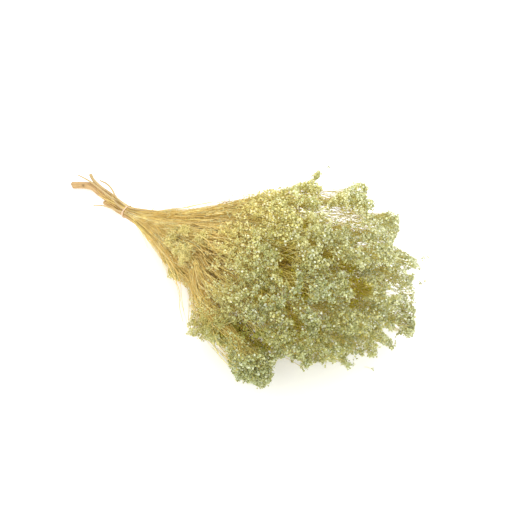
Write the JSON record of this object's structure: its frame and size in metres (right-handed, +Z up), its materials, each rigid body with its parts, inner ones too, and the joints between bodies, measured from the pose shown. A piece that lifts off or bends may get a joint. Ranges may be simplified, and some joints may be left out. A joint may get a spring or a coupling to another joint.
{
  "type": "dried broom bloom bunch",
  "caption": "Bunch of dried broom bloom lying on its side: cut woody stems held by a thin band, fine straw twigs fanning out to a wide head of tiny pale green florets.",
  "frame": {"origin": "centre of the footprint, on the surface that the bunch lies on", "axes": "+X from the cut stem ends to the bloom, +Z up, +Y to the left when looking along +X"},
  "size_m": [0.5046, 0.286, 0.1585],
  "materials": {
    "woody_stem": "dry, matte straw-brown bark with fine lengthwise grooves",
    "straw_twig": "dry, matte straw-yellow twig",
    "bloom": "papery, matte pale sage green florets",
    "tie_band": "thin pale elastic band, matte"
  },
  "bodies": {
    "root": {"stem_01": "woody_stem", "stem_02": "woody_stem", "stem_03": "straw_twig", "stem_04": "straw_twig", "stem_05": "straw_twig", "stem_06": "straw_twig", "stem_07": "straw_twig", "stem_08": "straw_twig", "stem_09": "straw_twig", "bloom_01_1": "bloom", "bloom_01_2": "bloom", "bloom_01_3": "bloom", "bloom_01_4": "bloom", "bloom_01_5": "bloom", "bloom_01_6": "bloom", "bloom_01_7": "bloom", "bloom_02_1": "bloom", "bloom_02_2": "bloom", "bloom_02_3": "bloom", "bloom_02_4": "bloom", "bloom_03_1": "bloom", "bloom_03_2": "bloom", "bloom_04_1": "bloom", "bloom_04_2": "bloom", "bloom_04_3": "bloom", "bloom_05_1": "bloom", "bloom_05_2": "bloom", "bloom_06_1": "bloom", "bloom_06_2": "bloom", "bloom_07_1": "bloom", "bloom_07_2": "bloom", "bloom_07_3": "bloom", "bloom_08_1": "bloom", "bloom_08_2": "bloom", "bloom_08_3": "bloom", "bloom_09_1": "bloom", "bloom_09_2": "bloom", "bloom_09_3": "bloom", "tie_band": "tie_band"}
  },
  "joints": []
}
